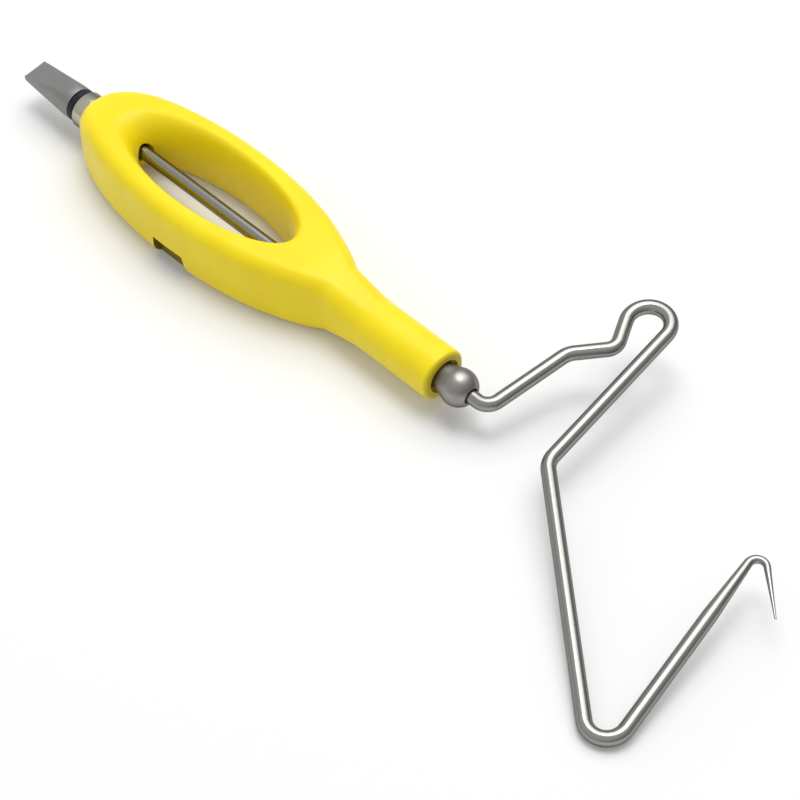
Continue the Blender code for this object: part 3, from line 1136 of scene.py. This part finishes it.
@dataclass
class TailBush(Assembly):
    """The bright flanged bush that carries the wire at the tail."""

    name: str = "bright_tail_collar"
    node: str = "tail_bush"
    body: Body = Body.HANDLE
    finish: Finish = BRIGHT
    sleeve: Barrel = TAIL_SLEEVE
    length: float = 0.0024
    radius: float = 0.0028
    edge: float = 0.0003

    def build(self) -> bpy.types.Object:
        """Turn the collar and its sleeve in one.

        Returns:
            The bush.
        """
        stem = self.sleeve.radius
        sleeve_end = TAIL_FACE + self.sleeve.length
        front = TAIL_FACE - SEAT_GAP
        rear = front - self.length
        profile = [(sleeve_end, BORE_RADIUS), (sleeve_end, stem), (front, stem)]
        profile += rounded_rim(front, rear, self.radius, self.edge)
        profile.append((rear, BORE_RADIUS))
        bush = turn(self.name, profile)
        smooth(bush)
        return bush


@dataclass
class ThrustWasher(Assembly):
    """The dark washer between the collar and the tail tool."""

    name: str = "dark_thrust_ring"
    node: str = "thrust_washer"
    body: Body = Body.HANDLE
    finish: Finish = WASHER
    front: float = ends("thrust_washer")[1]
    thickness: float = 0.0009
    radius: float = 0.00255
    edge: float = 0.00012

    def build(self) -> bpy.types.Object:
        """Turn a flat ring with eased rims.

        Returns:
            The washer.
        """
        rear = self.front - self.thickness
        profile = [(self.front, BORE_RADIUS)]
        profile += rounded_rim(self.front, rear, self.radius, self.edge)
        profile.append((rear, BORE_RADIUS))
        washer = turn(self.name, profile)
        smooth(washer)
        return washer


@dataclass
class TailTool(Assembly):
    """The tapered tool on the wire's rear end, with two flats that thin it to a straight edge."""

    name: str = "flat_tail_tool"
    node: str = "tail_tool"
    body: Body = Body.SPINNER
    finish: Finish = MATTE
    tilt: float = 0.0
    front: float = ends("tail_tool")[1]
    length: float = 0.0104
    root_radius: float = 0.00255
    tip_radius: float = 0.00195
    tip_half_thickness: float = 0.00045
    round_length: float = 0.0014
    socket_depth: float = 0.0040
    edge: float = 0.00010
    edge_steps: int = 3
    sharp_angle: float = 40.0

    def build(self) -> bpy.types.Object:
        """Turn the taper and its socket, cut both flats and ease the edges.

        Returns:
            The tool.
        """
        tip = self.front - self.length
        root = self.front - self.round_length
        socket = self.front - self.socket_depth
        profile = [(tip, 0.0), (tip, self.tip_radius), (root, self.root_radius)]
        profile += [(self.front, self.root_radius), (self.front, BORE_RADIUS)]
        profile += [(socket, BORE_RADIUS), (socket, 0.0)]
        tool = turn(self.name, profile)
        slope = (self.root_radius - self.tip_half_thickness) / (root - tip)
        with edit_mode(tool):
            for side in (1.0, -1.0):
                bpy.ops.mesh.select_all(action="SELECT")
                bpy.ops.mesh.bisect(
                    plane_co=(tip, 0.0, AXIS_HEIGHT + side * self.tip_half_thickness),
                    plane_no=(-slope, 0.0, side),
                    use_fill=True,
                    clear_outer=True,
                )
            bpy.ops.mesh.select_all(action="DESELECT")
            bpy.ops.mesh.select_mode(type="EDGE")
            bpy.ops.mesh.edges_select_sharp(sharpness=math.radians(self.sharp_angle))
            bpy.ops.mesh.bevel(
                offset=self.edge,
                segments=self.edge_steps,
                affect="EDGES",
                clamp_overlap=True,
            )
            close_skin()
        tool.data.transform(spin_about_axis(self.tilt))
        smooth(tool)
        return tool


class WirePath:
    """The middle line of a bent wire in its own plane, drawn run by run."""

    def __init__(self, x: float, bend_step: float) -> None:
        """Start on the spin axis.

        Args:
            x: Place of the wire's rear end.
            bend_step: Degrees between the points of a bend.
        """
        self.x = x
        self.offset = 0.0
        self.heading = 0.0
        self.bend_step = bend_step
        self.points: list[Point] = [(x, 0.0)]

    def run(self, length: float) -> None:
        """Go straight on.

        Args:
            length: How far.
        """
        self.x += length * math.cos(self.heading)
        self.offset += length * math.sin(self.heading)
        self.points.append((self.x, self.offset))

    def bend(self, bend: Bend) -> None:
        """Bend round to a new heading.

        Args:
            bend: The heading and the radius at the wire's middle.
        """
        sweep = math.radians(bend.heading) - self.heading
        side = math.copysign(1.0, sweep)
        centre = (
            self.x - side * bend.radius * math.sin(self.heading),
            self.offset + side * bend.radius * math.cos(self.heading),
        )
        start = self.heading - side * math.pi / 2
        steps = math.ceil(abs(math.degrees(sweep)) / self.bend_step)
        self.points += arc(centre, bend.radius, start, start + sweep, steps)[1:]
        self.x, self.offset = self.points[-1]
        self.heading = math.radians(bend.heading)


@dataclass
class HookWire(Assembly):
    """The wire: a straight shank, an offset crook and a long hook ground to a point."""

    name: str = "bent_hook_wire"
    node: str = "hook_wire"
    body: Body = Body.SPINNER
    finish: Finish = WIRE
    rear_end: float = ends("hook_wire")[0]
    ball_front: float = ends("nose_bush")[1]
    clear_of_ball: float = 0.0011
    first_bend: Bend = Bend(heading=82.0, radius=0.0020)
    first_leg: float = 0.0105
    second_bend: Bend = Bend(heading=48.0, radius=0.0030)
    second_leg: float = 0.0042
    third_bend: Bend = Bend(heading=117.0, radius=0.0018)
    third_leg: float = 0.0034
    crook: Bend = Bend(heading=-85.5, radius=0.00295)
    knee: Bend = Bend(heading=-40.0, radius=0.0030)
    knee_below_axis: float = 0.0010
    long_leg: float = 0.0354
    hook_bend: Bend = Bend(heading=99.0, radius=0.0027)
    tip_bend: Bend = Bend(heading=-42.0, radius=0.00125)
    tip_above_axis: float = 0.0005
    tip_leg: float = 0.0072
    taper_length: float = 0.0190
    tip_radius: float = 0.000125
    bend_step: float = 4.0
    taper_steps: int = 24
    bevel_resolution: int = 14

    def middle_line(self) -> list[Point]:
        """Lay the wire out in its plane, from the tail to the point.

        Returns:
            Points as (place on the axis, offset from the axis).
        """
        path = WirePath(self.rear_end, self.bend_step)
        path.run(self.ball_front + self.clear_of_ball - self.rear_end)
        path.bend(self.first_bend)
        path.run(self.first_leg)
        path.bend(self.second_bend)
        path.run(self.second_leg)
        path.bend(self.third_bend)
        path.run(self.third_leg)
        path.bend(self.crook)
        corner = self.knee.radius * math.tan(math.radians(self.knee.heading - self.crook.heading) / 2)
        path.run((path.offset + self.knee_below_axis) / -math.sin(path.heading) - corner)
        path.bend(self.knee)
        path.run(self.long_leg)
        path.bend(self.hook_bend)
        tip_heading = math.radians(self.tip_bend.heading)
        rise = self.tip_bend.radius * (math.cos(tip_heading) - math.cos(path.heading))
        rise += self.tip_leg * math.sin(tip_heading)
        path.run((self.tip_above_axis - path.offset - rise) / math.sin(path.heading))
        path.bend(self.tip_bend)
        path.run(self.tip_leg)
        return path.points

    def tilt(self) -> float:
        """Turn about the spin axis, in radians, that lays the lowest bend on the table."""
        reach = -min(offset for _, offset in self.middle_line())
        return math.asin((AXIS_HEIGHT - WIRE_RADIUS) / reach)

    def build(self) -> bpy.types.Object:
        """Bend a round wire along its middle line and grind its point.

        Returns:
            The wire.
        """
        points = self.middle_line()
        way = [0.0]
        for near, far in zip(points, points[1:]):
            way.append(way[-1] + math.dist(near, far))
        curve = bpy.data.curves.new(self.name, "CURVE")
        curve.dimensions = "3D"
        curve.bevel_depth = WIRE_RADIUS
        curve.bevel_resolution = self.bevel_resolution
        curve.use_fill_caps = True
        spline = curve.splines.new("POLY")
        stops = self.stops(way)
        spline.points.add(len(stops) - 1)
        for point, stop in zip(spline.points, stops):
            x, offset = self.at(points, way, stop)
            share = min((way[-1] - stop) / self.taper_length, 1.0)
            point.co = (x, offset, 0.0, 1.0)
            point.radius = (self.tip_radius + (WIRE_RADIUS - self.tip_radius) * share) / WIRE_RADIUS
        wire = bpy.data.objects.new(self.name, curve)
        bpy.context.scene.collection.objects.link(wire)
        pick(wire)
        bpy.ops.object.convert(target="MESH")
        wire = bpy.context.object
        self.mark_way(wire, stops)
        wire.data.transform(Matrix.Translation((0.0, 0.0, AXIS_HEIGHT)))
        wire.data.transform(spin_about_axis(self.tilt()))
        with edit_mode(wire):
            close_skin()
        smooth(wire)
        return wire

    def stops(self, way: list[float]) -> list[float]:
        """Distances along the wire where it gets a ring of points.

        Args:
            way: Distance of each point of the middle line.

        Returns:
            The distances in order, with more of them on the ground point.
        """
        step = self.taper_length / self.taper_steps
        merged = sorted([*way, *(way[-1] - step * i for i in range(self.taper_steps + 1))])
        apart = [far for near, far in zip(merged, merged[1:]) if far - near > MERGE_DISTANCE]
        return [merged[0], *apart]

    def at(self, points: list[Point], way: list[float], stop: float) -> Point:
        """The middle line's point at a distance along the wire.

        Args:
            points: The middle line.
            way: Distance of each of its points.
            stop: The distance.

        Returns:
            The point.
        """
        i = next(i for i in range(1, len(way)) if stop <= way[i] + MERGE_DISTANCE)
        share = (stop - way[i - 1]) / (way[i] - way[i - 1])
        near, far = points[i - 1], points[i]
        return near[0] + (far[0] - near[0]) * share, near[1] + (far[1] - near[1]) * share

    def mark_way(self, wire: bpy.types.Object, stops: list[float]) -> None:
        """Store where each point lay on the straight wire, for the drawn lines.

        Args:
            wire: The wire's mesh, ring by ring.
            stops: Distance of each ring along the wire.
        """
        # A round bevel has four sides, and two more for each step of its resolution
        sides = 4 + 2 * self.bevel_resolution
        marks = wire.data.attributes.new(DRAWN, "FLOAT_VECTOR", "POINT")
        for i, mark in enumerate(marks.data):
            turned = 2 * math.pi * (i % sides) / sides
            ring = min(i // sides, len(stops) - 1)
            mark.vector = (math.cos(turned), math.sin(turned), stops[ring])


@dataclass
class Studio:
    """A pale table under a wide soft light and a small one, seen from above the hook's side."""

    floor_size: float = 6.0
    floor_colour: Colour = (0.80, 0.80, 0.80)
    floor_roughness: float = 0.9
    floor_glow: float = 0.065
    key_power: float = 3.6
    key_size: float = 0.85
    key_place: Place = (-0.08, 0.30, 0.73)
    spark_power: float = 1.25
    spark_size: float = 0.34
    spark_place: Place = (-0.08, 0.12, 0.78)
    sky: Colour = (0.68, 0.685, 0.69)
    horizon: Colour = (0.25, 0.25, 0.25)
    bright_side: Place = (-0.40, -0.20, 0.87)
    sky_span: Point = (-0.45, 0.85)
    camera_azimuth: float = 45.75
    camera_elevation: float = 48.0
    camera_distance: float = 0.3077
    camera_target: Place = (0.02492, -0.00698, 0.005)
    camera_lens: float = 108.0
    camera_sensor: float = 36.0
    camera_near: float = 0.01

    def build(self) -> None:
        """Set up the table, the light and the camera."""
        self.build_floor()
        self.build_lights()
        self.build_sky()
        self.build_camera()
        bpy.context.scene.view_settings.view_transform = "Standard"

    def build_floor(self) -> None:
        """Lay a pale table that keeps the tool's shadow."""
        bpy.ops.mesh.primitive_plane_add(size=self.floor_size, location=(0.0, 0.0, 0.0))
        floor = bpy.context.object
        floor.name = "pale_table"
        material = bpy.data.materials.new("pale_table")
        material.use_nodes = True
        wiring = Wiring(material.node_tree)
        path = wiring.add("ShaderNodeLightPath")
        seen = wiring.math("ADD", path.outputs["Is Camera Ray"], path.outputs["Is Glossy Ray"])
        seen = wiring.math("ADD", seen, path.outputs["Is Transmission Ray"])
        seen = wiring.math("MINIMUM", seen, 1.0)
        wiring.feed(
            wiring.tree.nodes["Principled BSDF"],
            base_color=opaque(self.floor_colour),
            roughness=self.floor_roughness,
            specular_ior_level=0.0,
            emission_color=opaque((1.0, 1.0, 1.0)),
            emission_strength=wiring.math("MULTIPLY", seen, self.floor_glow),
        )
        floor.data.materials.append(material)

    def build_lights(self) -> None:
        """Hang the wide soft light and the small bright one above the tool."""
        self.hang("soft_key", self.key_place, self.key_size, self.key_power)
        self.hang("small_spark", self.spark_place, self.spark_size, self.spark_power)

    def hang(self, name: str, place: Place, size: float, power: float) -> None:
        """Hang one round light that faces the tool.

        Args:
            name: Name of the light.
            place: Where it hangs.
            size: Its width.
            power: Its power in watts.
        """
        bpy.ops.object.light_add(type="AREA", location=place)
        lamp = bpy.context.object
        lamp.name = name
        lamp.rotation_euler = Vector(place).to_track_quat("Z", "Y").to_euler()
        lamp.data.shape = "DISK"
        lamp.data.size = size
        lamp.data.energy = power

    def build_sky(self) -> None:
        """Give the room a dim sky that darkens away from its bright side."""
        world = bpy.data.worlds.new("studio_room")
        bpy.context.scene.world = world
        world.use_nodes = True
        wiring = Wiring(world.node_tree)
        direction = wiring.add("ShaderNodeTexCoord").outputs["Generated"]
        share = wiring.spread(wiring.dot(direction, self.bright_side), self.sky_span)
        colour = wiring.blend(share, opaque(self.horizon), opaque(self.sky))
        wiring.feed(wiring.tree.nodes["Background"], color=colour, strength=1.0)

    def build_camera(self) -> None:
        """Set up the camera and look through it."""
        azimuth, elevation = math.radians(self.camera_azimuth), math.radians(self.camera_elevation)
        back = Vector((
            math.sin(azimuth) * math.cos(elevation),
            -math.cos(azimuth) * math.cos(elevation),
            math.sin(elevation),
        ))
        bpy.ops.object.camera_add(location=Vector(self.camera_target) + back * self.camera_distance)
        camera = bpy.context.object
        camera.rotation_euler = (-back).to_track_quat("-Z", "Y").to_euler()
        camera.data.lens = self.camera_lens
        camera.data.sensor_width = self.camera_sensor
        camera.data.clip_start = self.camera_near
        bpy.context.scene.camera = camera


def main() -> None:
    """Build the tool piece by piece, then set it on its table."""
    logging.basicConfig(level=logging.INFO, format="%(message)s")
    effects = Effects()
    wire = HookWire()
    for assembly in (Handle(), NoseBush(), TailBush(), ThrustWasher(), wire, TailTool(tilt=wire.tilt())):
        piece = assembly.build()
        assembly.dress(piece, effects)
        LOG.info("%s: %d points, %d faces", piece.name, len(piece.data.vertices), len(piece.data.polygons))
    Studio().build()


if __name__ == "__main__":
    main()
